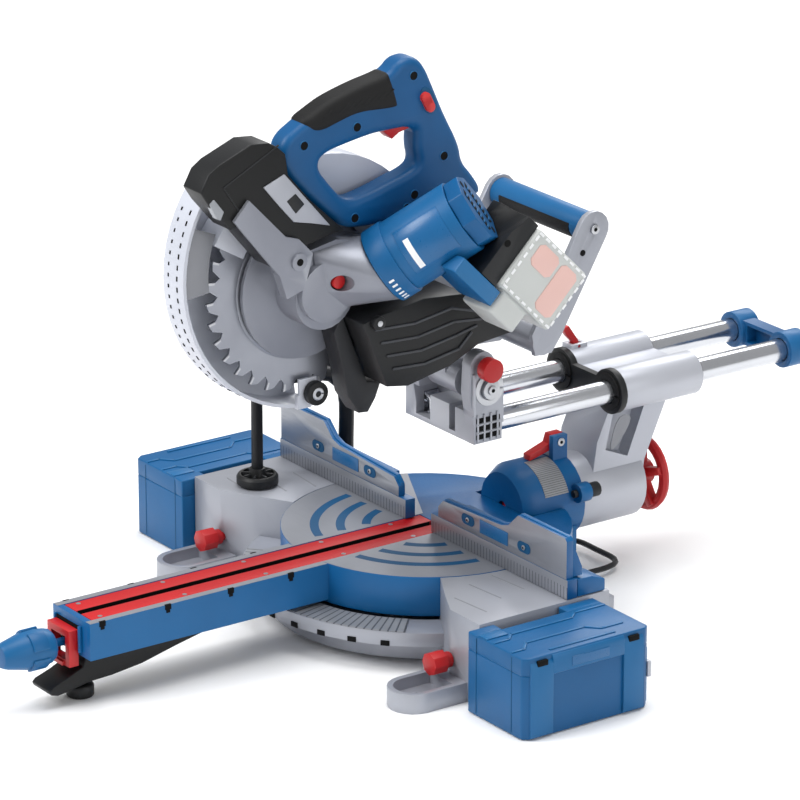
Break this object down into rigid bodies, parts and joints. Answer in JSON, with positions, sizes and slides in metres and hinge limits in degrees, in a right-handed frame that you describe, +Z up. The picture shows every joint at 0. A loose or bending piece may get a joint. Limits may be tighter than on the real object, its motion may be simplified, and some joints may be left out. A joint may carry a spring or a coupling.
{
  "type": "sliding compound mitre saw",
  "caption": "Cordless sliding compound mitre saw with tilting, sliding and chopping head, turntable, guards, clamp, and slide-out side boxes.",
  "frame": {"origin": "middle of the footprint, on the bench", "axes": "+X to the operator's right, +Y away from the operator along the rails, +Z up"},
  "size_m": [0.682, 0.94, 0.583],
  "materials": {
    "blue_paint": "satin",
    "cast_silver": "cast",
    "aluminium": "satin",
    "steel": "ground",
    "black_plastic": "matt",
    "rubber": "matt",
    "red_plastic": "satin",
    "guard_plastic": "satin",
    "battery_plastic": "matt"
  },
  "bodies": {
    "base": {"base_casting": "cast_silver", "fence_lower_left": "aluminium", "fence_lower_right": "aluminium"},
    "fence_left": {"fence_upper_left": "aluminium"},
    "fence_right": {"fence_upper_right": "aluminium"},
    "box_left": {"side_box_left": "blue_paint", "extension_rods_left": "steel"},
    "box_right": {"side_box_right": "blue_paint", "extension_rods_right": "steel"},
    "box_knob_left": {"box_lock_knob_left": "red_plastic"},
    "box_knob_right": {"box_lock_knob_right": "red_plastic"},
    "clamp": {"clamp_post": "steel"},
    "clamp_screw": {"clamp_spindle": "steel", "clamp_pad": "rubber"},
    "anti_tip": {"anti_tip_bow": "steel"},
    "table": {"turntable": "cast_silver", "insert_left": "red_plastic", "insert_right": "red_plastic", "bevel_hub": "blue_paint", "bevel_stop_screw": "black_plastic", "arm_foot": "black_plastic"},
    "range_lever": {"bevel_range_lever": "red_plastic"},
    "mitre_knob": {"mitre_lock_knob": "blue_paint"},
    "detent_lever": {"mitre_detent_lever": "red_plastic"},
    "tilt": {"bevel_arm": "cast_silver", "rail_seal_plate": "black_plastic", "rail_bush_left": "steel", "rail_bush_right": "steel"},
    "bevel_lock": {"bevel_wheel": "red_plastic"},
    "rail_lock": {"rail_lock_lever": "red_plastic"},
    "carriage": {"guide_rail_left": "steel", "guide_rail_right": "steel", "rail_end_cap": "blue_paint", "head_bracket": "cast_silver", "pivot_bolt": "steel", "head_spring": "steel"},
    "transport_pin": {"transport_lock_pin": "red_plastic"},
    "head": {"upper_guard": "guard_plastic", "gear_case": "cast_silver", "motor_housing": "blue_paint", "motor_end_cap": "blue_paint", "main_handle": "blue_paint", "grip_cover": "rubber", "front_cover": "black_plastic", "dust_chute": "black_plastic", "chute_lip": "rubber", "battery_foot": "blue_paint", "battery_shoe": "black_plastic", "head_arm": "cast_silver", "carry_handle": "blue_paint"},
    "blade": {"saw_blade": "steel", "blade_spindle": "steel", "arbor_bolt": "steel"},
    "rotor": {"motor_rotor": "steel"},
    "guard": {"lower_guard": "guard_plastic"},
    "roller": {"guard_roller": "black_plastic"},
    "trigger_body": {"trigger": "red_plastic"},
    "lock_off": {"lock_off_button": "red_plastic"},
    "spindle_lock": {"spindle_lock_button": "red_plastic"},
    "battery": {"battery_pack": "battery_plastic"}
  },
  "joints": [
    {"name": "mitre_swing", "type": "hinge", "parent": "base", "child": "table", "pos_m": [0, 0.026, 0.04], "axis": [0, 0, 1], "range_deg": [-45, 45]},
    {"name": "bevel_tilt", "type": "hinge", "parent": "table", "child": "tilt", "pos_m": [0, 0.146, 0.083], "axis": [0, 1, 0], "range_deg": [-45, 2]},
    {"name": "rail_slide", "type": "slide", "parent": "tilt", "child": "carriage", "axis": [0, -1, 0], "range_m": [-0.12, 0.095]},
    {"name": "head_chop", "type": "hinge", "parent": "carriage", "child": "head", "pos_m": [0, 0.06, 0.238], "axis": [1, 0, 0], "range_deg": [0, 48], "stiffness_Nm_per_rad": 6, "springref_deg": -91.67},
    {"name": "guard_swing", "type": "hinge", "parent": "head", "child": "guard", "pos_m": [0, -0.125, 0.366], "axis": [1, 0, 0], "range_deg": [-97, 0]},
    {"name": "roller_spin", "type": "hinge", "parent": "guard", "child": "roller", "pos_m": [0, -0.116, 0.257], "axis": [1, 0, 0], "continuous": true},
    {"name": "blade_spin", "type": "hinge", "parent": "head", "child": "blade", "pos_m": [0, -0.125, 0.366], "axis": [1, 0, 0], "continuous": true},
    {"name": "motor_spin", "type": "hinge", "parent": "head", "child": "rotor", "pos_m": [0.06, -0.072, 0.388], "axis": [0.5103, 0.6533, 0.5593], "continuous": true},
    {"name": "trigger_pull", "type": "hinge", "parent": "head", "child": "trigger_body", "pos_m": [0.023, -0.024, 0.528], "axis": [1, 0, 0], "range_deg": [0, 6], "stiffness_Nm_per_rad": 0.6, "springref_deg": -5.73},
    {"name": "lock_off_press", "type": "slide", "parent": "head", "child": "lock_off", "axis": [-1, 0, 0], "range_m": [0, 0.004], "stiffness_N_per_m": 300, "springref_m": -0.003},
    {"name": "spindle_lock_press", "type": "slide", "parent": "head", "child": "spindle_lock", "axis": [-1, 0, 0], "range_m": [0, 0.004], "stiffness_N_per_m": 300, "springref_m": -0.003},
    {"name": "battery_slide", "type": "slide", "parent": "head", "child": "battery", "axis": [0, 0.7071, 0.7071], "range_m": [0, 0.06]},
    {"name": "transport_lock", "type": "slide", "parent": "carriage", "child": "transport_pin", "axis": [-1, 0, 0], "range_m": [0, 0.006]},
    {"name": "bevel_lock_turn", "type": "hinge", "parent": "tilt", "child": "bevel_lock", "pos_m": [0, 0.303, 0.083], "axis": [0, 1, 0], "range_deg": [0, 180]},
    {"name": "bevel_range_turn", "type": "hinge", "parent": "table", "child": "range_lever", "pos_m": [0, 0.184, 0.143], "axis": [-1, 0, 0], "range_deg": [0, 30]},
    {"name": "rail_lock_turn", "type": "hinge", "parent": "tilt", "child": "rail_lock", "pos_m": [0, 0.242, 0.2205], "axis": [-1, 0, 0], "range_deg": [0, 20]},
    {"name": "mitre_lock_turn", "type": "hinge", "parent": "table", "child": "mitre_knob", "pos_m": [0, -0.434, 0.06], "axis": [0, 1, 0], "range_deg": [0, 180]},
    {"name": "mitre_detent_lift", "type": "hinge", "parent": "table", "child": "detent_lever", "pos_m": [0, -0.395, 0.071], "axis": [-1, 0, 0], "range_deg": [0, 8]},
    {"name": "fence_slide_left", "type": "slide", "parent": "base", "child": "fence_left", "axis": [-1, 0, 0], "range_m": [0, 0.08]},
    {"name": "fence_slide_right", "type": "slide", "parent": "base", "child": "fence_right", "axis": [1, 0, 0], "range_m": [0, 0.08]},
    {"name": "box_slide_left", "type": "slide", "parent": "base", "child": "box_left", "axis": [-1, 0, 0], "range_m": [0, 0.15]},
    {"name": "box_slide_right", "type": "slide", "parent": "base", "child": "box_right", "axis": [1, 0, 0], "range_m": [0, 0.15]},
    {"name": "box_lock_turn_left", "type": "hinge", "parent": "base", "child": "box_knob_left", "pos_m": [-0.2, -0.1, 0.035], "axis": [0, 1, 0], "range_deg": [0, 180]},
    {"name": "box_lock_turn_right", "type": "hinge", "parent": "base", "child": "box_knob_right", "pos_m": [0.2, -0.1, 0.035], "axis": [0, 1, 0], "range_deg": [0, 180]},
    {"name": "clamp_swing", "type": "hinge", "parent": "base", "child": "clamp", "pos_m": [-0.178, 0.052, 0.14], "axis": [0, 0, 1], "range_deg": [-40, 40]},
    {"name": "clamp_screw_travel", "type": "slide", "parent": "clamp", "child": "clamp_screw", "axis": [0, 0, 1], "range_m": [0, 0.06]},
    {"name": "anti_tip_pull", "type": "slide", "parent": "base", "child": "anti_tip", "axis": [0, 1, 0], "range_m": [0, 0.08]}
  ],
  "couplings": [
    {"joint": "guard_swing", "follows": "head_chop", "ratio": -2},
    {"joint": "motor_spin", "follows": "blade_spin", "ratio": 5}
  ]
}
